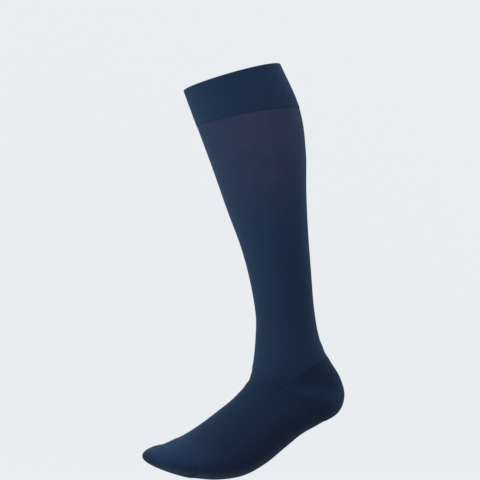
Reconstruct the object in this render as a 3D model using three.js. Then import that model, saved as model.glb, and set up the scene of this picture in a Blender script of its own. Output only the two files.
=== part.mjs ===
// Knee-high compression stocking with the hollow form it has when worn, drawn in millimetres.
// The origin is the middle of the top band. +Z runs up the leg, the toes point to -X,
// the heel to +X, and the outer side of the left leg faces -Y.
import * as THREE from "three";

// Cloth thickness and seams
const KNIT_WALL = 1.2;
const POCKET_WALL = 1.6;
const WELT_WALL = 2.0;
const WELT_INSET = 0.3;
const SEAM_GAP = 0.3;

// Where the knitted pieces meet, counted in sections from the top edge
const BAND_END = 1;
const HEEL_CORNER_SECTION = 10;
const HEEL_RISE = 2.02;
const HEEL_DROP = 1.7;
const TOE_START_SECTION = 17.45;
const TOE_START_LEAN = 0.45;

// Angles round a section, from 0 at the front through a quarter turn at the inner side
const QUARTER_TURN = Math.PI / 2;
const FULL_TURN = Math.PI * 2;
const HEEL_CORNER_ANGLE = THREE.MathUtils.degToRad(60);
const HEEL_CORNER_MARGIN = THREE.MathUtils.degToRad(2);

// Fineness of the solids
const COLUMNS = 48;
const BAND_ROWS = 6;
const LEG_ROWS = 18;
const HEEL_ROWS = 8;
const FOOT_ROWS = 16;
const TOE_ROWS = 10;
const FOLD_STEPS = 4;

// Each section is a closed ring of the hollow, seen from the side as the line from its
// front to its back. width is its breadth at mid depth, egg makes its back half fuller and
// shiftY leans it inwards. The walls stand on the outside of the hollow.
const SECTIONS = [
  { place: "top edge", frontX: -67.2, frontZ: 8, backX: 46, backZ: 40, width: 109.5, egg: 0.1, shiftY: 0 },
  { place: "band end", frontX: -50.8, frontZ: -35, backX: 69.8, backZ: -13, width: 116, egg: 0.1, shiftY: 0 },
  { place: "calf", frontX: -31.5, frontZ: -86, backX: 77.4, backZ: -62, width: 110.5, egg: 0.12, shiftY: 0 },
  { place: "low calf", frontX: -14.4, frontZ: -134, backX: 78.4, backZ: -114, width: 95.5, egg: 0.12, shiftY: 0 },
  { place: "shin", frontX: 2.6, frontZ: -179, backX: 80.8, backZ: -161, width: 80.5, egg: 0.1, shiftY: 0 },
  { place: "low shin", frontX: 13.7, frontZ: -220, backX: 84.4, backZ: -204, width: 68.5, egg: 0.08, shiftY: 0 },
  { place: "ankle", frontX: 20.5, frontZ: -260, backX: 88.3, backZ: -250, width: 61.5, egg: 0.05, shiftY: 0 },
  { place: "low ankle", frontX: 20.3, frontZ: -288, backX: 94.5, backZ: -286, width: 65.5, egg: 0.05, shiftY: 0 },
  { place: "above heel", frontX: 18.2, frontZ: -311, backX: 105.8, backZ: -312, width: 70.5, egg: 0.05, shiftY: 0 },
  { place: "heel top", frontX: 15.3, frontZ: -326, backX: 120, backZ: -335, width: 70.5, egg: 0.05, shiftY: 0 },
  { place: "heel", frontX: 12.3, frontZ: -337, backX: 125.8, backZ: -357, width: 68.5, egg: 0.05, shiftY: 0 },
  { place: "low heel", frontX: 6.4, frontZ: -345.2, backX: 118, backZ: -376.6, width: 67.5, egg: 0.1, shiftY: 0 },
  { place: "back arch", frontX: -0.6, frontZ: -353.3, backX: 95, backZ: -389.6, width: 69.5, egg: 0.15, shiftY: 0 },
  { place: "arch", frontX: -11.5, frontZ: -363.5, backX: 73, backZ: -401.2, width: 73.5, egg: 0.15, shiftY: 0 },
  { place: "instep", frontX: -27.5, frontZ: -375.6, backX: 52, backZ: -417, width: 79.5, egg: 0.15, shiftY: 0 },
  { place: "waist", frontX: -43.6, frontZ: -387.5, backX: 27, backZ: -435.7, width: 87.5, egg: 0.15, shiftY: 0 },
  { place: "back ball", frontX: -60, frontZ: -398.2, backX: 0, backZ: -448.4, width: 94.5, egg: 0.15, shiftY: 0 },
  { place: "ball", frontX: -75, frontZ: -406.4, backX: -31, backZ: -452.2, width: 96.5, egg: 0.1, shiftY: 2 },
  { place: "toe root", frontX: -90, frontZ: -413.6, backX: -62, backZ: -449.4, width: 88.5, egg: 0.05, shiftY: 5 },
];
const LAST_SECTION = SECTIONS.length - 1;
const TOE_TIP = new THREE.Vector3(-112.2, 11, -429);
const TIP_ROW = LAST_SECTION + 1;
const TOE_FLATTEN = 0.33;
const TOE_NARROW = 0.08;

// Steps for measuring directions on the surface
const ROW_STEP = 0.01;
const ANGLE_STEP = 0.01;

function smoothLine(pointOf) {
  return new THREE.CatmullRomCurve3(SECTIONS.map(pointOf), false, "catmullrom", 0.5);
}

const frontLine = smoothLine((row) => new THREE.Vector3(row.frontX, row.shiftY, row.frontZ));
const backLine = smoothLine((row) => new THREE.Vector3(row.backX, row.shiftY, row.backZ));
const breadthLine = smoothLine((row) => new THREE.Vector3(row.width, row.egg, 0));

// Surface of the hollow at a row between sections and an angle round the ring.
// Past the last section the ring closes over the toe as a quarter of an ellipse that is
// flatter and a little narrower towards the tip.
function surfacePoint(row, angle) {
  const place = THREE.MathUtils.clamp(row / LAST_SECTION, 0, 1);
  const front = frontLine.getPoint(place);
  const back = backLine.getPoint(place);
  const breadth = breadthLine.getPoint(place);
  const turn = Math.max(row - LAST_SECTION, 0) * QUARTER_TURN;
  const reach = Math.sin(turn);
  const centre = front.clone().lerp(back, 0.5);
  const towardsFront = front.clone().sub(centre);
  const sideways = (breadth.x / 2) * Math.sin(angle) * (1 - breadth.y * Math.cos(angle));
  const point = centre.lerp(TOE_TIP, reach);
  point.addScaledVector(towardsFront, Math.cos(angle) * Math.cos(turn) * (1 - TOE_FLATTEN * reach));
  point.y += sideways * Math.cos(turn) * (1 - TOE_NARROW * reach);
  return point;
}

function alongCloth(row, angle) {
  const from = Math.max(row - ROW_STEP, 0);
  const to = Math.min(row + ROW_STEP, TIP_ROW);
  return surfacePoint(to, angle).sub(surfacePoint(from, angle)).divideScalar(to - from);
}

function roundCloth(row, angle) {
  const after = surfacePoint(row, angle + ANGLE_STEP);
  return after.sub(surfacePoint(row, angle - ANGLE_STEP)).divideScalar(2 * ANGLE_STEP);
}

// Point of the wall at a height above the surface of the hollow
function wallPoint(row, angle, height) {
  const outward = roundCloth(row, angle).cross(alongCloth(row, angle)).normalize();
  return surfacePoint(row, angle).addScaledVector(outward, height);
}

// Row that lies a length in millimetres further down the cloth
function rowAfter(row, angle, length) {
  return row + length / alongCloth(row, angle).length();
}

// The heel pocket is a lens behind the ankle. Its upper and lower lines meet at a corner on
// each side, and run on round the front as the single line between the leg and the foot.
// They leave the corners aslant and cross the back square to it.
function heelFullness(angle) {
  const fromFront = Math.acos(Math.cos(angle));
  const share = Math.max((fromFront - HEEL_CORNER_ANGLE) / (Math.PI - HEEL_CORNER_ANGLE), 0);
  return 1 - (1 - share) ** 3;
}

function heelUpperRow(angle) {
  return HEEL_CORNER_SECTION - HEEL_RISE * heelFullness(angle);
}

function heelLowerRow(angle) {
  return HEEL_CORNER_SECTION + HEEL_DROP * heelFullness(angle);
}

// The toe starts on a line square to the foot, which leans against the sections there
function toeRow(angle) {
  return TOE_START_SECTION - TOE_START_LEAN * Math.cos(angle);
}

// Half the seam gap on one side of a line, kept even where the line runs aslant
function besideLine(lineRow, angle, side) {
  const row = lineRow(angle);
  const climb = (lineRow(angle + ANGLE_STEP) - lineRow(angle - ANGLE_STEP)) / (2 * ANGLE_STEP);
  const slope = (climb * alongCloth(row, angle).length()) / roundCloth(row, angle).length();
  return rowAfter(row, angle, side * (SEAM_GAP / 2) * Math.hypot(1, slope));
}

// Points of the wall's section at one angle: down the inside, then back up the outside.
// A turned top edge goes on over the half circle of its fold.
function wallSection(piece, angle) {
  const start = piece.start(angle);
  const end = piece.end(angle);
  const points = [];
  for (let step = 0; step <= piece.rows; step += 1) {
    points.push(wallPoint(start + ((end - start) * step) / piece.rows, angle, -piece.inset));
  }
  for (let step = piece.rows; step >= 0; step -= 1) {
    const height = piece.wall - piece.inset;
    points.push(wallPoint(start + ((end - start) * step) / piece.rows, angle, height));
  }
  if (piece.foldRadius) {
    for (let step = 1; step < FOLD_STEPS; step += 1) {
      const turn = (Math.PI * step) / FOLD_STEPS;
      const row = rowAfter(start, angle, -piece.foldRadius * Math.sin(turn));
      const height = piece.wall / 2 - piece.inset + piece.foldRadius * Math.cos(turn);
      points.push(wallPoint(row, angle, height));
    }
  }
  return points;
}

// Triangles between one section and the next
function joinSections(faces, from, to, length, closed) {
  const last = closed ? length : length - 1;
  for (let index = 0; index < last; index += 1) {
    const next = (index + 1) % length;
    faces.push(from + index, from + next, to + next);
    faces.push(from + index, to + next, to + index);
  }
}

function closedMesh(name, points, faces, material) {
  const geometry = new THREE.BufferGeometry();
  const values = points.flatMap((point) => point.toArray());
  geometry.setAttribute("position", new THREE.Float32BufferAttribute(values, 3));
  geometry.setIndex(faces);
  geometry.computeVertexNormals();
  const mesh = new THREE.Mesh(geometry, material);
  mesh.name = name;
  return mesh;
}

// A wall that runs all round the leg or foot and is open at both ends
function openTube(name, piece, material) {
  const sections = [];
  for (let column = 0; column < COLUMNS; column += 1) {
    sections.push(wallSection(piece, (FULL_TURN * column) / COLUMNS));
  }
  const length = sections[0].length;
  const faces = [];
  for (let column = 0; column < COLUMNS; column += 1) {
    const next = (column + 1) % COLUMNS;
    joinSections(faces, column * length, next * length, length, true);
  }
  return closedMesh(name, sections.flat(), faces, material);
}

// A wall that runs round the back only, with a plain edge at each side
function backPatch(name, piece, angles, material) {
  const sections = angles.map((angle) => wallSection(piece, angle));
  const length = sections[0].length;
  const faces = [];
  for (let column = 0; column < sections.length - 1; column += 1) {
    joinSections(faces, column * length, (column + 1) * length, length, true);
  }
  const lastSection = (sections.length - 1) * length;
  for (let step = 0; step < piece.rows; step += 1) {
    const outer = step;
    const inner = length - 1 - step;
    faces.push(outer, inner, inner - 1);
    faces.push(outer, inner - 1, outer + 1);
    faces.push(lastSection + outer, lastSection + inner - 1, lastSection + inner);
    faces.push(lastSection + outer, lastSection + outer + 1, lastSection + inner - 1);
  }
  return closedMesh(name, sections.flat(), faces, material);
}

// A wall that runs all round and closes over the tip of the toe
function closedCap(name, piece, material) {
  const points = [];
  const length = 2 * piece.rows;
  for (let column = 0; column < COLUMNS; column += 1) {
    const angle = (FULL_TURN * column) / COLUMNS;
    const section = wallSection(piece, angle);
    const inside = section.slice(0, piece.rows);
    const outside = section.slice(piece.rows + 2);
    points.push(...inside.reverse(), ...outside.reverse());
  }
  const innerTip = points.push(TOE_TIP.clone()) - 1;
  const toeRoot = frontLine.getPoint(1).lerp(backLine.getPoint(1), 0.5);
  const outward = TOE_TIP.clone().sub(toeRoot).normalize();
  const outerTip = points.push(TOE_TIP.clone().addScaledVector(outward, piece.wall)) - 1;
  const faces = [];
  for (let column = 0; column < COLUMNS; column += 1) {
    const from = column * length;
    const to = ((column + 1) % COLUMNS) * length;
    joinSections(faces, to, from, length, false);
    faces.push(innerTip, to, from);
    faces.push(outerTip, from + length - 1, to + length - 1);
  }
  return closedMesh(name, points, faces, material);
}

function knit(colour, roughness) {
  return new THREE.MeshStandardMaterial({ color: colour, roughness, metalness: 0 });
}

const bodyKnit = knit(0x2a3650, 0.82);
const weltKnit = knit(0x22304a, 0.85);
const pocketKnit = knit(0x1c2a40, 0.88);

// The turned double band at the top
const topBand = {
  wall: WELT_WALL,
  inset: WELT_INSET,
  rows: BAND_ROWS,
  foldRadius: WELT_WALL / 2,
  start: (angle) => rowAfter(0, angle, WELT_WALL / 2),
  end: (angle) => besideLine(() => BAND_END, angle, -1),
};

// The leg, from the band to the front of the ankle and the top of the heel pocket
const leg = {
  wall: KNIT_WALL,
  inset: 0,
  rows: LEG_ROWS,
  start: (angle) => besideLine(() => BAND_END, angle, 1),
  end: (angle) => besideLine(heelUpperRow, angle, -1),
};

// The heel pocket, thicker than the leg
const heel = {
  wall: POCKET_WALL,
  inset: 0,
  rows: HEEL_ROWS,
  start: (angle) => besideLine(heelUpperRow, angle, 1),
  end: (angle) => besideLine(heelLowerRow, angle, -1),
};

// The foot, from the bend of the ankle to the toe
const foot = {
  wall: KNIT_WALL,
  inset: 0,
  rows: FOOT_ROWS,
  start: (angle) => besideLine(heelLowerRow, angle, 1),
  end: (angle) => besideLine(toeRow, angle, -1),
};

// The closed toe
const toe = {
  wall: POCKET_WALL,
  inset: 0,
  rows: TOE_ROWS,
  start: (angle) => besideLine(toeRow, angle, 1),
  end: () => TIP_ROW,
};

// The heel keeps the columns of its neighbours and ends close to the two corners
function heelAngles() {
  const cornerColumn = Math.round((HEEL_CORNER_ANGLE / FULL_TURN) * COLUMNS);
  const angles = [HEEL_CORNER_ANGLE + HEEL_CORNER_MARGIN];
  for (let column = cornerColumn + 1; column < COLUMNS - cornerColumn; column += 1) {
    angles.push((FULL_TURN * column) / COLUMNS);
  }
  angles.push(FULL_TURN - HEEL_CORNER_ANGLE - HEEL_CORNER_MARGIN);
  return angles;
}

const stocking = new THREE.Group();
stocking.add(openTube("top_band", topBand, weltKnit));
stocking.add(openTube("leg", leg, bodyKnit));
stocking.add(backPatch("heel", heel, heelAngles(), pocketKnit));
stocking.add(openTube("foot", foot, bodyKnit.clone()));
stocking.add(closedCap("toe", toe, pocketKnit.clone()));

export default stocking;
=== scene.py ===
# %% [markdown]
# # A knee-high compression stocking
# The stocking is one tube of fine elastic knit. It has a turned band at the top, a pocket
# for the heel, and a closed toe. Its form is the hollow one that it has when it is worn.
#
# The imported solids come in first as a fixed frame. The four pieces of knit made below take
# the place of all five and stay on their form, and the joins lie on the knit.

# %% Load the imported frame
import math

import bpy
import mathutils
import numpy as np
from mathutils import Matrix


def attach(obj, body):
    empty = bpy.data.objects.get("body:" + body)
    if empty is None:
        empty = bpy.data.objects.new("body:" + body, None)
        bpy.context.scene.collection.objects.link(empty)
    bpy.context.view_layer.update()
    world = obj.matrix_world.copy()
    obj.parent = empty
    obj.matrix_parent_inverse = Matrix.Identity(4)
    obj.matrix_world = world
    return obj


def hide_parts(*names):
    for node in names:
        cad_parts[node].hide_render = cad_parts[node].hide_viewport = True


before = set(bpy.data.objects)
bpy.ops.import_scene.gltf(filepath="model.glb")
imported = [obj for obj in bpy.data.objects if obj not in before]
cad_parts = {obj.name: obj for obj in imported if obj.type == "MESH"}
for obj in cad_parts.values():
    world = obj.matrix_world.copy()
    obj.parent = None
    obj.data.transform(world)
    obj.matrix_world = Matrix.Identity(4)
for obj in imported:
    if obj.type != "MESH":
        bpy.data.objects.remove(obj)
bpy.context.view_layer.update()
print("Solids:", sorted(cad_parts))

# %% [markdown]
# ## The camera
# The photo shows the stocking from its outer side and a little from the front, with the
# eye below the band, so that the top edge bows upwards. A long lens from 1.65 m gives the
# same proportions. One pixel is 1.2 mm at the leg, and the camera is aimed so that the
# middle of the band falls on the pixel where the photo has it. The view could be matched
# by eye in the viewport, but with numbers it can be checked and repeated.

# %% Camera
PHOTO_SIZE = 480
PIXEL = 0.0012
CAMERA_DISTANCE = 1.65
CAMERA_TURN = math.radians(-12)
CAMERA_RISE = math.radians(-3)
BAND_PIXEL = (240.3, 97.8)
SENSOR_WIDTH = 36.0

towards_eye = np.array(
    (
        math.sin(CAMERA_TURN) * math.cos(CAMERA_RISE),
        -math.cos(CAMERA_TURN) * math.cos(CAMERA_RISE),
        math.sin(CAMERA_RISE),
    )
)
eye_right = np.array((math.cos(CAMERA_TURN), math.sin(CAMERA_TURN), 0.0))
eye_up = np.cross(towards_eye, eye_right)
aim = PIXEL * (
    (PHOTO_SIZE / 2 - BAND_PIXEL[0]) * eye_right + (BAND_PIXEL[1] - PHOTO_SIZE / 2) * eye_up
)
eye = aim + CAMERA_DISTANCE * towards_eye

camera_data = bpy.data.cameras.new("camera")
camera_data.sensor_width = SENSOR_WIDTH
camera_data.lens = SENSOR_WIDTH * CAMERA_DISTANCE / (PHOTO_SIZE * PIXEL)
camera = bpy.data.objects.new("camera", camera_data)
camera.matrix_world = mathutils.Matrix(
    [[*row, place] for row, place in zip(np.stack([eye_right, eye_up, towards_eye], 1), eye)]
    + [[0, 0, 0, 1]]
)
bpy.context.scene.collection.objects.link(camera)
bpy.context.scene.camera = camera
print("Lens:", round(camera_data.lens, 1), "mm")

# %% [markdown]
# ## The form of the cloth
# Stretched knit has no folds of its own: it takes a smooth form. So the whole stocking is
# one surface, a function of two numbers. The first is a row, counted down the leg and
# along the foot in sections. The second is an angle round the leg, 0 at the front, a
# quarter turn at the inner side, and half a turn at the back. A tube could be pushed into
# shape by hand, but a formula gives two pieces the very same edge where they meet.
#
# Each section is a closed ring of the hollow, seen from the side as the line from its
# front to its back. Its width is its breadth at mid depth, the egg value makes its back
# half fuller, and the lean moves it towards the inner side. The knit stands on the outside
# of the hollow. The sizes, in millimetres, are the ones that the solids have.

# %% Sections of the leg and foot
MM = 0.001
SECTION_COLUMNS = ("front_x", "front_z", "back_x", "back_z", "width", "lean", "egg")
SECTIONS = {
    "top edge": (-67.2, 8, 46, 40, 109.5, 0, 0.10),
    "band end": (-50.8, -35, 69.8, -13, 116, 0, 0.10),
    "calf": (-31.5, -86, 77.4, -62, 110.5, 0, 0.12),
    "low calf": (-14.4, -134, 78.4, -114, 95.5, 0, 0.12),
    "shin": (2.6, -179, 80.8, -161, 80.5, 0, 0.10),
    "low shin": (13.7, -220, 84.4, -204, 68.5, 0, 0.08),
    "ankle": (20.5, -260, 88.3, -250, 61.5, 0, 0.05),
    "low ankle": (20.3, -288, 94.5, -286, 65.5, 0, 0.05),
    "above heel": (18.2, -311, 105.8, -312, 70.5, 0, 0.05),
    "heel top": (15.3, -326, 120, -335, 70.5, 0, 0.05),
    "heel": (12.3, -337, 125.8, -357, 68.5, 0, 0.05),
    "low heel": (6.4, -345.2, 118, -376.6, 67.5, 0, 0.10),
    "back arch": (-0.6, -353.3, 95, -389.6, 69.5, 0, 0.15),
    "arch": (-11.5, -363.5, 73, -401.2, 73.5, 0, 0.15),
    "instep": (-27.5, -375.6, 52, -417, 79.5, 0, 0.15),
    "waist": (-43.6, -387.5, 27, -435.7, 87.5, 0, 0.15),
    "back ball": (-60, -398.2, 0, -448.4, 94.5, 0, 0.15),
    "ball": (-75, -406.4, -31, -452.2, 96.5, 2, 0.10),
    "toe root": (-90, -413.6, -62, -449.4, 88.5, 5, 0.05),
}
SECTION = dict(zip(SECTION_COLUMNS, np.array(list(SECTIONS.values()), float).T))
for length_column in SECTION_COLUMNS[:-1]:
    SECTION[length_column] *= MM
LAST_SECTION = len(SECTIONS) - 1
TIP_ROW = LAST_SECTION + 1
TOE_TIP = MM * np.array((-112.2, 11, -429))
TOE_FLATTEN = 0.33
TOE_NARROW = 0.08
KNIT_WALL = 1.2 * MM
print("Sections:", len(SECTIONS))


# %% Surface through the sections
def smooth(column, row):
    """Value of a column at a row. Between two sections it is the cubic that meets both,
    and that leaves each in the direction from the section before to the one after."""
    value = SECTION[column]
    longer = np.concatenate([[2 * value[0] - value[1]], value, [2 * value[-1] - value[-2]]])
    row = np.clip(row, 0, LAST_SECTION)
    first = np.minimum(row.astype(int), LAST_SECTION - 1)
    part = row - first
    before, here, there, after = (longer[first + step] for step in range(4))
    leaving = (there - before) / 2
    arriving = (after - here) / 2
    return (
        here * (2 * part**3 - 3 * part**2 + 1)
        + there * (3 * part**2 - 2 * part**3)
        + leaving * (part**3 - 2 * part**2 + part)
        + arriving * (part**3 - part**2)
    )


def surface(row, angle):
    """Surface of the hollow. A ring's point is its centre, plus the cosine of the angle
    towards its front, plus half its width times the sine of the angle sideways, less at
    the front and more at the back by the egg value. Past the last section the rings shrink
    to the tip of the toe as a quarter of an ellipse, and flatten and narrow a little."""
    row, angle = np.broadcast_arrays(np.asarray(row, float), np.asarray(angle, float))
    turn = np.clip(row - LAST_SECTION, 0, 1) * math.pi / 2
    reach, shrink = np.sin(turn), np.cos(turn)
    lean = smooth("lean", row)
    front = np.stack([smooth("front_x", row), lean, smooth("front_z", row)], -1)
    back = np.stack([smooth("back_x", row), lean, smooth("back_z", row)], -1)
    centre = (front + back) / 2
    point = centre + (TOE_TIP - centre) * reach[..., None]
    depthwise = np.cos(angle) * shrink * (1 - TOE_FLATTEN * reach)
    point += (front - back) / 2 * depthwise[..., None]
    sideways = smooth("width", row) / 2 * np.sin(angle) * (1 - smooth("egg", row) * np.cos(angle))
    point[..., 1] += sideways * shrink * (1 - TOE_NARROW * reach)
    return point


print("Tip of the toe:", surface(TIP_ROW, 0.0).round(4))


# %% Directions on the cloth
STEP = 0.01


def unit(vector):
    """The vector over its own length."""
    return vector / np.linalg.norm(vector, axis=-1, keepdims=True)


def slope_down(row, angle):
    """Change of the surface per row, as its difference over a small step of rows."""
    row, angle = np.broadcast_arrays(np.asarray(row, float), np.asarray(angle, float))
    low, high = np.maximum(row - STEP, 0), np.minimum(row + STEP, TIP_ROW)
    return (surface(high, angle) - surface(low, angle)) / (high - low)[..., None]


def row_length(row, angle):
    """Metres of cloth down one row: the length of the slope down."""
    return np.linalg.norm(slope_down(row, angle), axis=-1)


def outward(row, angle):
    """Unit vector square to the slopes round the cloth and down it."""
    around = (surface(row, angle + STEP) - surface(row, angle - STEP)) / (2 * STEP)
    return unit(np.cross(around, slope_down(row, angle)))


def on_cloth(row, angle, lift=0.0, slide=0.0):
    """Point at a height above the outside of the plain knit, which lies one wall above the
    hollow, moved on down the cloth by a slide."""
    lift, slide = np.asarray(lift)[..., None], np.asarray(slide)[..., None]
    raised = surface(row, angle) + outward(row, angle) * (KNIT_WALL + lift)
    return raised + unit(slope_down(row, angle)) * slide


print("Front of the ankle:", on_cloth(6.0, 0.0).round(4))

# %% [markdown]
# ## Where the pieces meet
# The knitting machine makes the band, the leg, the heel pocket, the foot and the toe in
# one go, and changes the yarn and the stitch between them. The heel pocket is knitted to
# and fro on half of the needles, so it is a lens behind the ankle with a corner at each
# side. The toe starts on a line across the foot. The pieces could be cut out of one mesh,
# but lines that are functions of the angle give clean edges without any cutting.

# %% Lines between the pieces
BAND_END = 1.0
HEEL_CORNER = 10.0
HEEL_CORNER_ANGLE = math.radians(60)
HEEL_RISE, HEEL_DROP = 2.02, 1.7
TOE_START = 17.45
TOE_START_LEAN = 0.45
SEAM_GAP = 0.1 * MM


def heel_line(angle, height):
    """Row of a line of the heel pocket: minus the rise for the upper one, the drop for the
    lower one. It leaves the corner aslant and crosses the back square to it, as one minus
    the cube of the share of the way that is left to the back."""
    from_front = np.arccos(np.cos(angle))
    share = np.maximum((from_front - HEEL_CORNER_ANGLE) / (np.pi - HEEL_CORNER_ANGLE), 0)
    return HEEL_CORNER + height * (1 - (1 - share) ** 3)


def toe_line(angle):
    """Row where the toe starts: earlier at the top of the foot and later at the sole."""
    return TOE_START - TOE_START_LEAN * np.cos(angle)


def beside(row, angle, distance):
    """Row that lies a distance in metres further down the cloth."""
    return row + distance / row_length(row, angle)


print("Heel pocket's rows at the back:", HEEL_CORNER - HEEL_RISE, HEEL_CORNER + HEEL_DROP)

# %% [markdown]
# ## Creases
# Compression knit is so tight that it hardly creases. A few soft troughs cross the front
# and the back of the ankle, where the stocking bends, and a few more lie below the band,
# at the arch and behind the toe. They are listed one by one, uneven, and on the hidden
# side too. A cloth simulation could make them, but it would also move the outline. In the
# table, spans are in degrees round the leg, and widths and depths are in millimetres.

# %% Creases
CREASE_COLUMNS = ("row", "degrees", "slant", "half_span", "half_width", "depth")
CREASES = {
    "ankle bend, outer": (8.2, -28, 0.20, 26, 3.6, 0.50),
    "ankle bend, middle": (9.1, 6, -0.10, 34, 4.2, 0.60),
    "ankle bend, inner": (9.9, 24, -0.25, 30, 3.4, 0.45),
    "ankle bend, low": (11.2, -16, 0.15, 28, 4.4, 0.45),
    "back of the ankle, upper": (7.1, 176, 0.10, 24, 3.6, 0.40),
    "back of the ankle, lower": (7.7, -168, -0.20, 30, 4.0, 0.45),
    "below the band": (1.55, -60, 0.12, 30, 6.0, 0.30),
    "behind the toe, outer": (16.4, -40, 0.45, 24, 3.2, 0.40),
    "behind the toe, inner": (16.3, 34, -0.35, 22, 3.4, 0.40),
    "arch, inner": (13.4, 118, 0.50, 26, 5.0, 0.45),
    "arch, outer": (13.0, -128, -0.45, 22, 5.0, 0.40),
}
CREASE = dict(zip(CREASE_COLUMNS, np.array(list(CREASES.values()), float).T))


def crease_lift(row, angle):
    """Sum over the creases of minus the depth times two bell curves: one of the distance
    across the crease's slanting line, and one of the angle along it."""
    turn = np.asarray(angle)[..., None] - np.radians(CREASE["degrees"])
    turn = np.arctan2(np.sin(turn), np.cos(turn))
    across = np.asarray(row)[..., None] - CREASE["row"] - CREASE["slant"] * np.sin(turn)
    across = across * row_length(row, angle)[..., None] / (CREASE["half_width"] * MM)
    along = turn / np.radians(CREASE["half_span"])
    bell = np.exp(-(across**2) - along**2)
    return -(CREASE["depth"] * MM * bell).sum(-1)


print("Creases:", len(CREASES), "down to", CREASE["depth"].max(), "mm")

# %% [markdown]
# ## From grids to a mesh
# A patch is a grid of points with a knit map: u is the part of a turn round the leg, from
# a seam at the back, and v is the length of cloth from the top edge, so that stitches can
# follow the cloth. Neighbouring patches share their edge points, and points at one place
# become one vertex, so the pieces come out closed. Modifiers could thicken and join plain
# sheets, but grids keep every edge and the knit map where they are wanted.

# %% Length of the cloth
LENGTH_SAMPLES = 400
RING_SAMPLES = 49


def sum_so_far(steps):
    """Sum of the steps up to each point, from 0 at the first one."""
    return np.concatenate([[0], np.cumsum(steps)])


length_rows = np.linspace(0, TIP_ROW, LENGTH_SAMPLES)
ring_angles = np.linspace(-np.pi, np.pi, RING_SAMPLES)
ring_steps = row_length(length_rows[:, None], ring_angles).mean(1)
cloth_length = sum_so_far((ring_steps[1:] + ring_steps[:-1]) / 2 * np.diff(length_rows))
print("Length of cloth, as a mean round the leg:", round(cloth_length[-1], 3), "m")


# %% Patches
def patch(row, angle, lift=0.0, slide=0.0, shade=0.0):
    """Grid of six values: the point, its place in the knit map, and a shade."""
    row, angle, lift, slide, shade = np.broadcast_arrays(row, angle, lift, slide, shade)
    point = on_cloth(row, angle, lift, slide)
    length = np.interp(row, length_rows, cloth_length) + slide
    knit_map = np.stack([angle / (2 * np.pi) + 0.5, length], -1)
    return np.concatenate([point, knit_map, shade[..., None]], -1)


def close_round(grid):
    """The last column of a full turn is the first one's points again."""
    grid[:, -1, :3] = grid[:, 0, :3]
    return grid


def corners(grid):
    """The four corners of each quad, in the order that faces outwards when the grid's
    rows run down the cloth and its columns run round it."""
    quads = [grid[:-1, :-1], grid[:-1, 1:], grid[1:, 1:], grid[1:, :-1]]
    return np.stack(quads, 2).reshape(-1, 4, *grid.shape[2:])


print("A point of a patch, at the front of the top edge:", patch(0.0, 0.0).round(3))

# %% Meshes
MERGE_DISTANCE = 1e-7
SHARP_DEGREES = 50
NO_SHARP_EDGES = 180


def merge_corners(quads):
    """The vertex number of each quad's corners, and the values of each vertex. Corners at
    the same place, to the merge distance, are one vertex."""
    values = quads.reshape(-1, quads.shape[-1])
    places = np.round(values[:, :3] / MERGE_DISTANCE).astype(np.int64)
    _, first, number = np.unique(places, axis=0, return_index=True, return_inverse=True)
    return number.reshape(-1, 4), values[first].astype(np.float32)


def make_mesh(name, patches, sharp_degrees=SHARP_DEGREES):
    """One mesh of several patches. A quad with two corners at one vertex becomes a
    triangle, and one with fewer than three corners left is dropped."""
    quads = np.concatenate([corners(grid) for grid in patches])
    number, vertex = merge_corners(quads)
    kept = number != np.roll(number, 1, axis=1)
    sides = kept.sum(1)
    whole = sides > 2
    kept &= whole[:, None]
    loops = number[kept]
    starts = sum_so_far(sides[whole])[:-1]
    mesh = bpy.data.meshes.new(name)
    mesh.vertices.add(len(vertex))
    mesh.vertices.foreach_set("co", vertex[:, :3].ravel())
    mesh.loops.add(len(loops))
    mesh.loops.foreach_set("vertex_index", loops.astype(np.int32))
    mesh.polygons.add(len(starts))
    mesh.polygons.foreach_set("loop_start", starts.astype(np.int32))
    mesh.polygons.foreach_set("use_smooth", np.ones(len(starts), bool))
    knit_map = mesh.uv_layers.new(name="Knit")
    knit_map.data.foreach_set("uv", quads[..., 3:5][kept].astype(np.float32).ravel())
    shade = mesh.attributes.new("shade", "FLOAT", "POINT")
    shade.data.foreach_set("value", vertex[:, 5])
    mesh.update(calc_edges=True)
    mesh.validate()
    mesh.set_sharp_from_angle(angle=math.radians(sharp_degrees))
    return mesh


print("Corners within", MERGE_DISTANCE, "m of each other merge")


# %% Pieces
def make_piece(name, patches, nodes=(), sharp_degrees=SHARP_DEGREES):
    """A piece that rides on the stocking and replaces solids."""
    piece = bpy.data.objects.new(name, make_mesh(name, patches, sharp_degrees))
    bpy.context.scene.collection.objects.link(piece)
    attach(piece, "root")
    if nodes:
        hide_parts(*nodes)
    print(name, len(piece.data.polygons), "faces")
    return piece


def full_turn(columns):
    """Angles of a full turn that starts and ends at the back."""
    return np.linspace(-np.pi, np.pi, columns + 1)


def rows_between(start, end, count, crowd=0.0):
    """Rows from a start line to an end line. Crowding puts more of them near both ends."""
    even = np.linspace(0, 1, count + 1)
    eased = (1 - np.cos(np.pi * even)) / 2
    share = (even * (1 - crowd) + eased * crowd)[:, None]
    return start * (1 - share) + end * share


print("Rows from 0 to 1, crowded:", rows_between(0.0, 1.0, 4, crowd=1.0).ravel().round(2))
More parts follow.
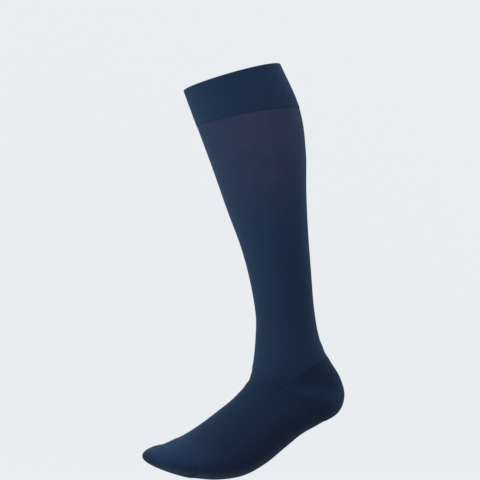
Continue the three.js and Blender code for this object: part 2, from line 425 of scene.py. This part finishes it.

# %% [markdown]
# ## The knit of the leg and foot
# The leg and the foot are one tube of the same knit, with a lens-shaped hole for the heel
# pocket. It could be a solidified sheet, but two grids give cleaner edges: one from the
# band to the top of the heel, one from under the heel to the toe. They share the line
# round the front. The shade marks where the cloth is stretched most and shows thinner,
# just below the band. Below 0 it darkens the ankle and the foot, partly for their denser
# knit and partly as painted shade, and most of all under the sole, as painted shade.

# %% Thin places of the knit, and darker ones with painted shade
THIN_HOLD = 1.15
THIN_FADE = 3.0
THIN_SIDE = 0.8
THIN_SIDE_POWER = 1.5
DENSITY_AND_SHADE_COLUMNS = ("row", "density_and_shade")
# Darkening by row: partly the denser knit, partly painted shade on the lower leg and foot.
DENSITY_AND_SHADE = {
    "low calf": (3.4, 0.0),
    "ankle": (6.4, 0.36),
    "above heel": (8.8, 0.38),
    "heel": (10.2, 0.72),
    "back ball": (15.5, 0.74),
    "toe line": (17.6, 0.15),
}
# Painted shade under the foot: where it starts, how it fades in, and how deep it is.
SOLE_START, SOLE_FADE = 10.5, 2.0
SOLE_PAINTED_SHADE = 0.15


def smooth_step(value):
    """Eases from 0 to 1 as the value does, flat at both ends."""
    value = np.clip(value, 0, 1)
    return value * value * (3 - 2 * value)


def knit_shade(row, angle):
    """Above 0 where the cloth is thin: 1 just below the band, down to 0 three sections
    lower, less at the front and the back than at the sides. Below 0 where it is darker,
    partly for the denser knit and partly as painted shade: it goes down by the table's
    value, read off straight between its rows, and further under the foot, by the root of
    minus the cosine of the angle, as painted shade on the side that faces down."""
    sides = 1 - THIN_SIDE * np.abs(np.cos(angle)) ** THIN_SIDE_POWER
    thin = smooth_step(THIN_HOLD * (1 - (row - BAND_END) / THIN_FADE)) * sides
    density_and_shade = dict(zip(DENSITY_AND_SHADE_COLUMNS, zip(*DENSITY_AND_SHADE.values())))
    # Painted shade on the sole and the lower sides of the foot, which face down.
    underneath = np.sqrt(np.maximum(-np.cos(angle), 0))
    sole = SOLE_PAINTED_SHADE * smooth_step((row - SOLE_START) / SOLE_FADE) * underneath
    return thin - np.interp(row, density_and_shade["row"], density_and_shade["density_and_shade"]) - sole


print("Shade below the band:", knit_shade(1.1, np.pi / 2).round(2))
print("Shade at the sole:", knit_shade(15.0, np.pi).round(2))

# %% Leg and foot
KNIT_COLUMNS = 168
LEG_ROWS = 168
FOOT_ROWS = 76

knit_angle = full_turn(KNIT_COLUMNS)
leg_start = beside(np.full_like(knit_angle, BAND_END), knit_angle, SEAM_GAP / 2)
foot_end = beside(toe_line(knit_angle), knit_angle, -SEAM_GAP / 2)
leg_row = rows_between(leg_start, heel_line(knit_angle, -HEEL_RISE), LEG_ROWS)
foot_row = rows_between(heel_line(knit_angle, HEEL_DROP), foot_end, FOOT_ROWS)

knit_patches = []
for cloth_row in (leg_row, foot_row):
    crease = crease_lift(cloth_row, knit_angle)
    shade = knit_shade(cloth_row, knit_angle)
    outside = close_round(patch(cloth_row, knit_angle, crease, shade=shade))
    inside = close_round(patch(cloth_row, knit_angle, crease - KNIT_WALL, shade=shade))
    knit_patches.append((outside, inside))
(leg_outside, leg_inside), (foot_outside, foot_inside) = knit_patches


def edge_strip(one, other, columns=slice(None)):
    """Strip that joins an edge of the outside to the same edge of the inside."""
    return np.stack([one[columns], other[columns]])


corner_column = round((np.pi - HEEL_CORNER_ANGLE) / (2 * np.pi) * KNIT_COLUMNS)
outer_back, inner_back = slice(0, corner_column + 1), slice(KNIT_COLUMNS - corner_column, None)
leg_and_foot = [leg_outside, foot_outside, leg_inside[::-1], foot_inside[::-1]]
leg_and_foot.append(edge_strip(leg_inside[0], leg_outside[0]))
leg_and_foot.append(edge_strip(foot_outside[-1], foot_inside[-1]))
for back_half in (outer_back, inner_back):
    leg_and_foot.append(edge_strip(leg_outside[-1], leg_inside[-1], back_half))
    leg_and_foot.append(edge_strip(foot_inside[0], foot_outside[0], back_half))
leg_knit = make_piece("leg_knit", leg_and_foot, ("leg", "foot"))

# %% [markdown]
# ## The turned band
# The band is the same tube, knitted twice as long as it shows, turned in on itself and
# linked on at its lower edge. So it is double, it ends in a round fold at the top, and it
# stands a little proud of the leg. A thickened ring would have square edges, so its
# section is one closed profile: down the outside, round the lower edge, up the inside and
# over the fold.

# %% Top band
BAND_COLUMNS = 240
BAND_ROWS = 36
BAND_WALL = 2.0 * MM
BAND_PROUD = 0.35 * MM
BAND_CROWN = 0.10 * MM
CROWN_POWER = 0.7
BAND_EDGE = 0.9 * MM
FOLD_STEPS = 12


def quarter_ease(distance, reach):
    """Eases from 0 at no distance to 1 at the reach and beyond, as a quarter circle."""
    near = np.clip(distance / reach, 0, 1)
    return np.sqrt(1 - (1 - near) ** 2)


band_angle = full_turn(BAND_COLUMNS)
band_top = beside(np.zeros_like(band_angle), band_angle, BAND_WALL / 2)
band_bottom = beside(np.full_like(band_angle, BAND_END), band_angle, -SEAM_GAP / 2)
band_row = rows_between(band_top, band_bottom, BAND_ROWS, crowd=1.0)
band_down = rows_between(0.0, 1.0, BAND_ROWS, crowd=1.0)
edge_distance = (band_bottom - band_row) * row_length(band_row, band_angle)
band_crown = BAND_CROWN * np.sin(np.pi * band_down) ** CROWN_POWER
band_lift = (BAND_PROUD + band_crown) * quarter_ease(edge_distance, BAND_EDGE)
band_outside = patch(band_row, band_angle, band_lift)
band_inside = patch(band_row, band_angle, BAND_PROUD - BAND_WALL)

fold_turn = np.linspace(0, np.pi, FOLD_STEPS + 1)[:, None]
fold_lift = BAND_PROUD - BAND_WALL / 2 - BAND_WALL / 2 * np.cos(fold_turn)
fold_slide = -BAND_WALL / 2 * np.sin(fold_turn)
band_fold = patch(np.tile(band_top, (FOLD_STEPS + 1, 1)), band_angle, fold_lift, fold_slide)
band_profile = np.concatenate([band_outside, band_inside[::-1], band_fold[1:]])
turned_band = make_piece("turned_band", [close_round(band_profile)], ("top_band",))

# %% [markdown]
# ## The heel pocket
# The pocket fills the lens-shaped hole. It could be a patch laid on the leg, but the real
# cloth isn't double there. Its knit has an extra thread and is thicker, so its outside
# eases up from its edges and stands a little proud of the leg. A lighter stripe runs along
# the middle of the pocket, by the suture, and fades towards the corners, where the
# pocket's tone blends into that of the foot.

# %% Heel pocket
POCKET_PROUD = 0.4 * MM
POCKET_EASE = 1.6 * MM
HEEL_COLUMNS = 140
HEEL_ROWS = 48
CORNER_MARGIN = math.radians(1)
STRIPE_DOWN, STRIPE_SHARE = 0.575, 0.15
HEEL_FADE = math.radians(32)
CORNER_SHADE = 0.45


def pocket_lift(row, angle, start, end=np.inf):
    """Proud height, eased from nothing at the start and end lines as a quarter circle."""
    nearest = np.minimum(np.abs(row - start), np.abs(end - row)) * row_length(row, angle)
    return POCKET_PROUD * quarter_ease(nearest, POCKET_EASE)


heel_side = HEEL_CORNER_ANGLE + CORNER_MARGIN
heel_angle = np.linspace(heel_side, 2 * np.pi - heel_side, HEEL_COLUMNS + 1)
heel_start = beside(heel_line(heel_angle, -HEEL_RISE), heel_angle, SEAM_GAP)
heel_end = beside(heel_line(heel_angle, HEEL_DROP), heel_angle, -SEAM_GAP)
heel_row = rows_between(heel_start, heel_end, HEEL_ROWS, crowd=0.8)
heel_down = (heel_row - heel_start) / (heel_end - heel_start)
heel_inwards = (np.pi - HEEL_CORNER_ANGLE - np.abs(heel_angle - np.pi)) / HEEL_FADE
heel_stripe = np.exp(-(((heel_down - STRIPE_DOWN) / STRIPE_SHARE) ** 2))
heel_shade = heel_stripe * smooth_step(heel_inwards) + CORNER_SHADE * smooth_step(1 - heel_inwards)
heel_lift = pocket_lift(heel_row, heel_angle, heel_start, heel_end)
heel_crease = crease_lift(heel_row, heel_angle)
heel_outside = patch(heel_row, heel_angle, heel_lift + heel_crease, shade=heel_shade)
heel_inside = patch(heel_row, heel_angle, heel_crease - KNIT_WALL, shade=heel_shade)
heel_profile = np.concatenate([heel_outside, heel_inside[::-1], heel_outside[:1]])
first_side = np.stack([heel_inside[:, 0], heel_outside[:, 0]], 1)
last_side = np.stack([heel_outside[:, -1], heel_inside[:, -1]], 1)
heel_pocket = make_piece(
    "heel_pocket", [heel_profile, first_side, last_side], ("heel",)
)

# %% [markdown]
# ## The toe pocket
# The toe is a closed cap of the thicker knit. A half ball could end the foot, but rings
# that carry on from the last section keep the foot's line. Both its outside and its inside
# run on to one point at the tip, where the quads turn into triangles. Its shade darkens
# the last part towards the tip.

# %% Toe pocket
TOE_COLUMNS = 144
TOE_ROWS = 64
TIP_SHADE_START, TIP_SHADE_SPAN = 0.4, 0.3

toe_angle = full_turn(TOE_COLUMNS)
toe_start = beside(toe_line(toe_angle), toe_angle, SEAM_GAP / 2)
toe_end = np.full_like(toe_angle, TIP_ROW)
toe_row = rows_between(toe_start, toe_end, TOE_ROWS, crowd=0.5)[:-1]
toe_lift = pocket_lift(toe_row, toe_angle, toe_start)
toe_crease = crease_lift(toe_row, toe_angle)
tip_reach = np.clip(toe_row - LAST_SECTION, 0, 1)
toe_shade = np.clip((tip_reach - TIP_SHADE_START) / TIP_SHADE_SPAN, 0, 1)
toe_outside = patch(toe_row, toe_angle, toe_lift + toe_crease, shade=toe_shade)
toe_inside = patch(toe_row, toe_angle, toe_crease - KNIT_WALL, shade=toe_shade)


def tip_ring(grid, height):
    """A last row whose points all lie at one place, a height outside the hollow's tip."""
    ring = grid[-1:].copy()
    toe_root = surface(LAST_SECTION, np.array((0, np.pi))).mean(0)
    ring[..., :3] = TOE_TIP + unit(TOE_TIP - toe_root) * height
    return ring


toe_outside = np.concatenate([toe_outside, tip_ring(toe_outside, KNIT_WALL + POCKET_PROUD)])
toe_inside = np.concatenate([toe_inside, tip_ring(toe_inside, 0.0)])
toe_profile = np.concatenate([toe_inside[:1], toe_outside])
toe_pocket = make_piece(
    "toe_pocket",
    [close_round(toe_profile), close_round(toe_inside[::-1].copy())],
    ("toe",),
)

# %% [markdown]
# ## Seams and joins
# Four joins show on a knitted stocking. The band is linked on along its lower edge. The
# heel pocket's two halves meet in a suture that runs from each corner towards the back.
# The edges of the pocket show as a change of stitch. The toe is closed by a linking seam
# over the top of the foot, with a short suture at each side. Each join is a fine row of
# loops, so it is made as a beaded cord that lies half sunk in the surface. A drawn line
# would be simpler, but wouldn't catch the light as the loops do. The table gives each
# cord's radius, the length of a bead, and the height of its middle, in millimetres.

# %% Beaded joins
CORD_COLUMNS = ("radius", "bead", "lift")
CORDS = {
    "band link": (0.30, 1.1, 0.02),
    "heel edge": (0.28, 1.0, 0.06),
    "heel suture": (0.38, 1.7, 0.30),
    "toe seam": (0.48, 1.5, 0.15),
    "toe edge": (0.25, 1.0, 0.05),
    "toe suture": (0.40, 1.5, 0.30),
}
CORD_SIDES = 8
CORD_TAPER = 8
CORD_MAP_WIDTH = 0.004
BEAD_WAIST = 0.72


def length_along(point):
    """Length of a line of points up to each one, as the sum of the steps between them."""
    return sum_so_far(np.linalg.norm(np.diff(point, axis=0), axis=-1))


def join_cord(kind, row, angle, closed=False, shade=0.0):
    """Tube along a line on the cloth. Its radius swells and thins with each bead, and
    tapers to nothing at both ends of an open line. Its rings are circles spanned by the
    outward direction and the one square to the line."""
    radius, bead, lift = (MM * value for value in CORDS[kind])
    middle = on_cloth(row, angle, lift)
    raised = outward(row, angle)
    forwards = np.gradient(middle, axis=0)
    if closed:
        forwards[[0, -1]] = middle[1] - middle[-2]
    sideways = unit(np.cross(unit(forwards), raised))
    length = length_along(middle)
    beads = max(round(length[-1] / bead), 1)
    swell = np.abs(np.cos(np.pi * beads * length / length[-1]))
    thick = radius * (BEAD_WAIST + (1 - BEAD_WAIST) * swell)
    if not closed:
        ends = np.minimum(length, length[-1] - length) / (CORD_TAPER * radius)
        thick = thick * np.sqrt(smooth_step(ends))
    turn = np.linspace(0, 2 * np.pi, CORD_SIDES + 1)
    ring = np.cos(turn)[:, None] * raised[:, None] + np.sin(turn)[:, None] * sideways[:, None]
    point = middle[:, None] + ring * thick[:, None, None]
    point[:, -1] = point[:, 0]
    if closed:
        point[-1] = point[0]
    across = turn / (2 * np.pi) * CORD_MAP_WIDTH
    knit_map = np.stack(np.broadcast_arrays(across, length[:, None]), -1)
    return np.concatenate([point, knit_map, np.full(point.shape[:2] + (1,), shade)], -1)


print("Cords,", ", ".join(CORD_COLUMNS), "in mm:", CORDS)

# %% Points along a line
LINE_SAMPLES = 400
BEAD_SPACING = 0.45 * MM


def even_line(row_of, start, end):
    """Rows and angles along a line on the cloth, so that its points lie evenly apart."""
    angle = np.linspace(start, end, LINE_SAMPLES)
    length = length_along(on_cloth(row_of(angle), angle))
    count = int(length[-1] / BEAD_SPACING)
    angle = np.interp(np.linspace(0, length[-1], count + 1), length, angle)
    return row_of(angle), angle


def make_join(name, cords):
    """A piece of cords, which have no sharp edges."""
    return make_piece(name, cords, sharp_degrees=NO_SHARP_EDGES)


def band_line(angle):
    """Row of the band's lower edge, the same all round."""
    return np.full_like(angle, BAND_END)


link_line = even_line(band_line, -np.pi, np.pi)
print("Points along the band's lower edge:", len(link_line[0]))

# %% Band link and heel joins
SUTURE_SINK = 0.22
SUTURE_LEAD = 0.05
SUTURE_REACH = math.radians(62)
SUTURE_SHADE = 0.4

link_cord = join_cord("band link", *link_line, closed=True)
band_link = make_join("band_link", [link_cord])


def suture_row(angle):
    """The suture starts at the corner's row and sinks a little towards the back."""
    return HEEL_CORNER + SUTURE_SINK * np.maximum(-np.cos(angle), 0)


heel_corners = HEEL_CORNER_ANGLE, 2 * np.pi - HEEL_CORNER_ANGLE
heel_cords = []
for height in (-HEEL_RISE, HEEL_DROP):
    edge = even_line(lambda angle: heel_line(angle, height), *heel_corners)
    heel_cords.append(join_cord("heel edge", *edge))
heel_sutures = []
for corner, towards_back in zip(heel_corners, (1, -1)):
    suture_start = corner - towards_back * SUTURE_LEAD
    suture_end = corner + towards_back * SUTURE_REACH
    suture = even_line(suture_row, suture_start, suture_end)
    heel_sutures.append(join_cord("heel suture", *suture, shade=SUTURE_SHADE))
heel_edges = make_join("heel_edges", heel_cords)
heel_suture = make_join("heel_suture", heel_sutures)

# %% Toe joins
TOE_SEAM_HALF = math.radians(94)
TOE_SEAM_OVERLAP = 0.05
TOE_SUTURE_ROWS = 1.15
TOE_SUTURE_BOW = 0.10
TOE_SUTURE_STEPS = 90

toe_cords = [join_cord("toe seam", *even_line(toe_line, -TOE_SEAM_HALF, TOE_SEAM_HALF))]
under_start = TOE_SEAM_HALF - TOE_SEAM_OVERLAP
under_toe = even_line(toe_line, under_start, 2 * np.pi - under_start)
toe_edge_cords = [join_cord("toe edge", *under_toe)]
for side in (-1, 1):
    share = np.linspace(0, 1, TOE_SUTURE_STEPS)
    side_angle = side * (TOE_SEAM_HALF + TOE_SUTURE_BOW * np.sin(np.pi * share))
    side_row = toe_line(side_angle) + TOE_SUTURE_ROWS * share
    toe_edge_cords.append(join_cord("toe suture", side_row, side_angle))
toe_seam = make_join("toe_linking_seam", toe_cords)
toe_edges = make_join("toe_edges", toe_edge_cords)

# %% [markdown]
# ## The knit as a shader group
# The stitches are finer than a millimetre, too fine for the mesh, so they are a bump. It
# is worked out from the knit map, and not painted, so that it follows the cloth. In
# plain knit each needle makes a column of V-shaped loops, a wale, and each turn of the
# machine makes a row, a course. The group counts wales with u and courses with v. Within a
# wale the height has two humps, the legs of the V, and each leg rises and falls with the
# courses, later away from the wale's middle. It also gives the colour: darker between the
# stitches, as painted shade in the gaps, with faint streaks along the wales, as uneven
# yarn gives.


# %% Helpers for node groups
def feed(tree, socket, value):
    """Links another socket to this one, or gives it a plain value."""
    if isinstance(value, bpy.types.NodeSocket):
        tree.links.new(value, socket)
    else:
        socket.default_value = value


def math_node(tree, operation, *values):
    """A Math node whose inputs are sockets or plain numbers."""
    node = tree.nodes.new("ShaderNodeMath")
    node.operation = operation
    for socket, value in zip(node.inputs, values):
        feed(tree, socket, value)
    return node.outputs[0]


def group_tree(name, inputs, outputs):
    """A shader group with named sockets: inputs are (name, kind, value)."""
    tree = bpy.data.node_groups.new(name, "ShaderNodeTree")
    for socket_name, kind, value in inputs:
        socket = tree.interface.new_socket(socket_name, in_out="INPUT", socket_type=kind)
        socket.default_value = value
    for socket_name, kind in outputs:
        tree.interface.new_socket(socket_name, in_out="OUTPUT", socket_type=kind)
    return tree, tree.nodes.new("NodeGroupInput").outputs, tree.nodes.new("NodeGroupOutput").inputs


# %% Height of the stitches
STITCH_SLANT = 0.6
COURSE_RELIEF = 0.25
KNIT_INPUTS = [
    ("Tone", "NodeSocketColor", (0.02, 0.03, 0.06, 1)),
    ("Wales", "NodeSocketFloat", 400.0),
    ("Courses", "NodeSocketFloat", 1700.0),
    # Between: how much painted shade darkens the gaps between the stitches.
    ("Between", "NodeSocketFloat", 0.35),
    ("Streaks", "NodeSocketFloat", 0.10),
]
KNIT_OUTPUTS = [("Tone", "NodeSocketColor"), ("Height", "NodeSocketFloat")]

knit_group, knit_in, knit_out = group_tree("fine_knit", KNIT_INPUTS, KNIT_OUTPUTS)
knit_map = knit_group.nodes.new("ShaderNodeUVMap")
knit_map.uv_map = "Knit"
split_map = knit_group.nodes.new("ShaderNodeSeparateXYZ")
knit_group.links.new(knit_map.outputs["UV"], split_map.inputs[0])
wale = math_node(knit_group, "MULTIPLY", split_map.outputs["X"], knit_in["Wales"])
in_wale = math_node(knit_group, "SUBTRACT", math_node(knit_group, "FRACT", wale), 0.5)
from_middle = math_node(knit_group, "MULTIPLY", math_node(knit_group, "ABSOLUTE", in_wale), 2.0)
legs = math_node(knit_group, "SINE", math_node(knit_group, "MULTIPLY", from_middle, math.pi))
course = math_node(knit_group, "MULTIPLY", split_map.outputs["Y"], knit_in["Courses"])
slant = math_node(knit_group, "MULTIPLY", from_middle, STITCH_SLANT)
slanted = math_node(knit_group, "SUBTRACT", course, slant)
wave = math_node(knit_group, "COSINE", math_node(knit_group, "MULTIPLY", slanted, 2 * math.pi))
loops = math_node(knit_group, "MULTIPLY_ADD", wave, COURSE_RELIEF, 1 - COURSE_RELIEF)
height = math_node(knit_group, "MULTIPLY", legs, loops)
knit_group.links.new(height, knit_out["Height"])
print("Nodes for the height:", len(knit_group.nodes))

# %% Tone of the stitches
STREAKS_PER_WALE = 0.22
STREAKS_PER_METRE = 14.0
STREAK_DETAIL = 2.0

streak_place = knit_group.nodes.new("ShaderNodeCombineXYZ")
streak_across = math_node(knit_group, "MULTIPLY", wale, STREAKS_PER_WALE)
streak_along = math_node(knit_group, "MULTIPLY", split_map.outputs["Y"], STREAKS_PER_METRE)
knit_group.links.new(streak_across, streak_place.inputs["X"])
knit_group.links.new(streak_along, streak_place.inputs["Y"])
streak = knit_group.nodes.new("ShaderNodeTexNoise")
streak.inputs["Scale"].default_value = 1.0
streak.inputs["Detail"].default_value = STREAK_DETAIL
knit_group.links.new(streak_place.outputs[0], streak.inputs["Vector"])
streak_shift = math_node(knit_group, "SUBTRACT", streak.outputs[0], 0.5)
streak_part = math_node(knit_group, "MULTIPLY", streak_shift, knit_in["Streaks"])
# Painted shade between the stitches: darker where the height is low.
gap_shade_mask = math_node(knit_group, "SUBTRACT", 1.0, height)
painted_gap_shade = math_node(knit_group, "MULTIPLY", gap_shade_mask, knit_in["Between"])
lit_part = math_node(knit_group, "SUBTRACT", 1.0, painted_gap_shade)
light = math_node(knit_group, "ADD", lit_part, streak_part)
tone_scale = knit_group.nodes.new("ShaderNodeVectorMath")
tone_scale.operation = "SCALE"
knit_group.links.new(knit_in["Tone"], tone_scale.inputs[0])
knit_group.links.new(light, tone_scale.inputs["Scale"])
knit_group.links.new(tone_scale.outputs[0], knit_out["Tone"])
print("Nodes in the knit group:", len(knit_group.nodes))

# %% [markdown]
# ## Cloth materials
# All pieces share the group and differ in tone, stitch count and sheen. The yarn is matt,
# with short fibres that catch the light at the edges, which the sheen gives. Each finish
# has three tones, mixed by the shade: above 0 the first, at 0 the second, below 0 the
# third. The body's first is lighter and warmer, for where it is stretched thin, in uneven
# clouds, and its third is darker, partly for the denser knit and partly as painted shade.
# The heel's first is lighter, for the stripe along its middle, and the toe's is darker,
# for its tip. One material with masks could do it all, but separate finishes are plainer.

# %% Tone of a finish
CLOUDS_PER_METRE = 30.0
CLOUD_DETAIL = 2.0
CLOUD_GAIN, CLOUD_BASE = 1.8, 0.1


def mixed_tone(tree, tones):
    """The finish's colour as a socket. The shade times a cloudy noise mixes in the first
    tone, and minus the shade mixes in the third."""
    above, middle, below = tones
    shade = tree.nodes.new("ShaderNodeAttribute")
    shade.attribute_name = "shade"
    cloud = tree.nodes.new("ShaderNodeTexNoise")
    cloud.inputs["Scale"].default_value = CLOUDS_PER_METRE
    cloud.inputs["Detail"].default_value = CLOUD_DETAIL
    place = tree.nodes.new("ShaderNodeTexCoord")
    tree.links.new(place.outputs["Object"], cloud.inputs["Vector"])
    cloudy = math_node(tree, "MULTIPLY_ADD", cloud.outputs[0], CLOUD_GAIN, CLOUD_BASE)
    above_part = math_node(tree, "MULTIPLY", shade.outputs["Fac"], cloudy)
    below_part = math_node(tree, "MULTIPLY", shade.outputs["Fac"], -1.0)
    mixed = (*middle, 1)
    for part, other in ((above_part, above), (below_part, below)):
        mix = tree.nodes.new("ShaderNodeMix")
        mix.data_type = "RGBA"
        feed(tree, mix.inputs["Factor"], part)
        feed(tree, mix.inputs["A"], mixed)
        feed(tree, mix.inputs["B"], (*other, 1))
        mixed = mix.outputs["Result"]
    return mixed


print("Clouds per metre:", CLOUDS_PER_METRE)

# %% Knit material
STITCH_DEPTH = 0.3 * MM
SHEEN_ROUGHNESS = 0.4
SHEEN_TINT = (0.55, 0.75, 1.0, 1)


def knit_material(name, tones, wales, courses, between, bump, rough, sheen):
    """Principled shader, with the mixed tone passed through the knit group for its colour,
    and the group's height as its bump."""
    material = bpy.data.materials.new(name)
    material.use_nodes = True
    tree = material.node_tree
    shader = tree.nodes["Principled BSDF"]
    knit = tree.nodes.new("ShaderNodeGroup")
    knit.node_tree = knit_group
    knit.inputs["Wales"].default_value = wales
    knit.inputs["Courses"].default_value = courses
    knit.inputs["Between"].default_value = between
    tree.links.new(mixed_tone(tree, tones), knit.inputs["Tone"])
    tree.links.new(knit.outputs["Tone"], shader.inputs["Base Color"])
    relief = tree.nodes.new("ShaderNodeBump")
    relief.inputs["Strength"].default_value = bump
    relief.inputs["Distance"].default_value = STITCH_DEPTH
    tree.links.new(knit.outputs["Height"], relief.inputs["Height"])
    tree.links.new(relief.outputs["Normal"], shader.inputs["Normal"])
    shader.inputs["Roughness"].default_value = rough
    shader.inputs["Specular IOR Level"].default_value = 0.0
    shader.inputs["Sheen Weight"].default_value = sheen
    shader.inputs["Sheen Roughness"].default_value = SHEEN_ROUGHNESS
    shader.inputs["Sheen Tint"].default_value = SHEEN_TINT
    return material


print("Sheen tint:", SHEEN_TINT)

# %% Finishes
# The body's third tone is the darker one, partly denser knit and partly painted shade.
TONES = {
    "body_knit": ((0.0380, 0.0460, 0.0850), (0.0171, 0.0345, 0.0700), (0.0100, 0.0173, 0.0362)),
    "welt_knit": ((0.0172, 0.0340, 0.0690),) * 3,
    "heel_knit": ((0.0162, 0.0315, 0.0640), (0.0110, 0.0212, 0.0440), (0.0110, 0.0212, 0.0440)),
    "toe_knit": ((0.0095, 0.0150, 0.0300), (0.0148, 0.0314, 0.0648), (0.0105, 0.0205, 0.0420)),
}
# The between column is the painted shade in the gaps between the stitches.
FINISH_COLUMNS = ("wales", "courses", "between", "bump", "rough", "sheen")
FINISHES = {
    "body_knit": (420, 1700, 0.35, 0.35, 0.72, 0.14),
    "welt_knit": (330, 1250, 0.40, 0.45, 0.78, 0.12),
    "heel_knit": (400, 1500, 0.35, 0.45, 0.80, 0.12),
    "toe_knit": (380, 1500, 0.35, 0.45, 0.80, 0.10),
}
PIECES_OF_FINISH = {
    "body_knit": [leg_knit],
    "welt_knit": [turned_band, band_link],
    "heel_knit": [heel_pocket, heel_edges, heel_suture],
    "toe_knit": [toe_pocket, toe_seam, toe_edges],
}

for finish_name, values in FINISHES.items():
    settings = dict(zip(FINISH_COLUMNS, values))
    finish = knit_material(finish_name, TONES[finish_name], **settings)
    for piece in PIECES_OF_FINISH[finish_name]:
        piece.data.materials.append(finish)
print("Materials:", len(bpy.data.materials))

# %% [markdown]
# ## The cut of the cloth
# The cloth is knitted smaller than it is worn. Relaxed, the stocking's leg is about 25 cm
# round and the leg and foot are 50 cm long. Worn, it stretches by about two fifths in area.

# %% Worn area of the cloth
face_areas = np.empty(len(leg_knit.data.polygons), np.float32)
leg_knit.data.polygons.foreach_get("area", face_areas)
print("Worn area of the leg and foot, one side:", round(face_areas.sum() / 2, 3), "m2")

# %% [markdown]
# ## Floor and light
# The stocking hangs clear of the floor, as it does in the photo. The floor runs up into a
# round wall without an edge, so that it looks the same from every side. It glows by
# itself, which keeps it even, and its glow doesn't reach the stocking. The stocking's own
# light comes from a wide sky, stronger from above and from the left, and three soft lamps.

# %% Floor
FLOOR_Z = -0.60
FLOOR_GLOW, WALL_GLOW = 0.945, 0.966
FLOOR_TINT = (0.81, 0.838, 0.864, 1)
FLOOR_GREY = (0.04, 0.041, 0.042, 1)
FLOOR_RADIUS = 3.2
FLOOR_RINGS = 4
COVE_RADIUS = 1.6
WALL_HEIGHT = 3.0
COVE_STEPS = 24
FLOOR_COLUMNS = 96

flat_radius = np.linspace(0, FLOOR_RADIUS, FLOOR_RINGS, endpoint=False)
flat_rings = np.zeros(FLOOR_RINGS)
cove_turn = np.linspace(0, np.pi / 2, COVE_STEPS)
cove_radius = FLOOR_RADIUS + COVE_RADIUS * np.sin(cove_turn)
cove_share = 1 - np.cos(cove_turn)
floor_radius = np.concatenate([flat_radius, cove_radius, [FLOOR_RADIUS + COVE_RADIUS]])
floor_height = np.concatenate(
    [flat_rings, COVE_RADIUS * cove_share, [COVE_RADIUS + WALL_HEIGHT]]
)
floor_turn = np.linspace(0, 2 * np.pi, FLOOR_COLUMNS + 1)
floor_grid = np.zeros((len(floor_radius), FLOOR_COLUMNS + 1, 6))
floor_grid[..., 0] = floor_radius[:, None] * np.cos(floor_turn)
floor_grid[..., 1] = floor_radius[:, None] * np.sin(floor_turn)
floor_grid[..., 2] = FLOOR_Z + floor_height[:, None]
floor_grid[..., 5] = np.concatenate([flat_rings, cove_share, [1]])[:, None]
floor_mesh = make_mesh("floor", [close_round(floor_grid)[::-1]], NO_SHARP_EDGES)
floor = bpy.data.objects.new("floor", floor_mesh)
bpy.context.scene.collection.objects.link(floor)
floor.visible_diffuse = False
floor.visible_glossy = False
print("Floor:", len(floor.data.polygons), "faces")

# %% Floor's finish
floor_finish = bpy.data.materials.new("pale_floor")
floor_finish.use_nodes = True
floor_tree = floor_finish.node_tree
floor_shader = floor_tree.nodes["Principled BSDF"]
floor_shader.inputs["Base Color"].default_value = FLOOR_GREY
floor_shader.inputs["Roughness"].default_value = 1.0
floor_shader.inputs["Specular IOR Level"].default_value = 0.0
floor_shader.inputs["Emission Color"].default_value = FLOOR_TINT
floor_shade = floor_tree.nodes.new("ShaderNodeAttribute")
floor_shade.attribute_name = "shade"
glow_change = WALL_GLOW - FLOOR_GLOW
floor_glow = math_node(
    floor_tree, "MULTIPLY_ADD", floor_shade.outputs["Fac"], glow_change, FLOOR_GLOW
)
floor_tree.links.new(floor_glow, floor_shader.inputs["Emission Strength"])
floor.data.materials.append(floor_finish)
print("Floor and wall glow:", FLOOR_GLOW, WALL_GLOW)

# %% Lights
LIGHT_COLUMNS = ("x", "y", "z", "size", "watts")
LIGHTS = {
    "key_light": (-1.6, 0.1, 0.0, 0.9, 17),
    "front_fill": (-0.4, -1.9, 0.8, 1.4, 3),
    "edge_light": (1.3, 0.5, 0.3, 0.8, 0.4),
}
for light_name, values in LIGHTS.items():
    placed = dict(zip(LIGHT_COLUMNS, values))
    lamp = bpy.data.lights.new(light_name, "AREA")
    lamp.shape = "SQUARE"
    lamp.size = placed["size"]
    lamp.energy = placed["watts"]
    lamp_object = bpy.data.objects.new(light_name, lamp)
    lamp_place = mathutils.Vector((placed["x"], placed["y"], placed["z"]))
    lamp_object.location = lamp_place
    facing = mathutils.Vector(aim) - lamp_place
    lamp_object.rotation_euler = facing.to_track_quat("-Z", "Y").to_euler()
    lamp_object.visible_camera = False
    bpy.context.scene.collection.objects.link(lamp_object)

print("Lights:", ", ".join(LIGHTS))

# %% Sky
SKY_LEVEL = 0.94
SKY_UP = 0.66
SKY_LEFT = 0.16
SKY_TINT = (0.90, 0.95, 1.0, 1)

world = bpy.data.worlds.new("studio")
world.use_nodes = True
sky_tree = world.node_tree
sky = sky_tree.nodes["Background"]
sky.inputs["Color"].default_value = SKY_TINT
sky_place = sky_tree.nodes.new("ShaderNodeTexCoord")
sky_split = sky_tree.nodes.new("ShaderNodeSeparateXYZ")
sky_tree.links.new(sky_place.outputs["Generated"], sky_split.inputs[0])
sky_up = math_node(sky_tree, "MULTIPLY_ADD", sky_split.outputs["Z"], SKY_UP, SKY_LEVEL)
sky_left = math_node(sky_tree, "MULTIPLY", sky_split.outputs["X"], -SKY_LEFT)
sky_tree.links.new(math_node(sky_tree, "ADD", sky_up, sky_left), sky.inputs["Strength"])
bpy.context.scene.world = world
bpy.context.scene.view_settings.view_transform = "Standard"
print("Sky from below to above:", round(SKY_LEVEL - SKY_UP, 2), round(SKY_LEVEL + SKY_UP, 2))
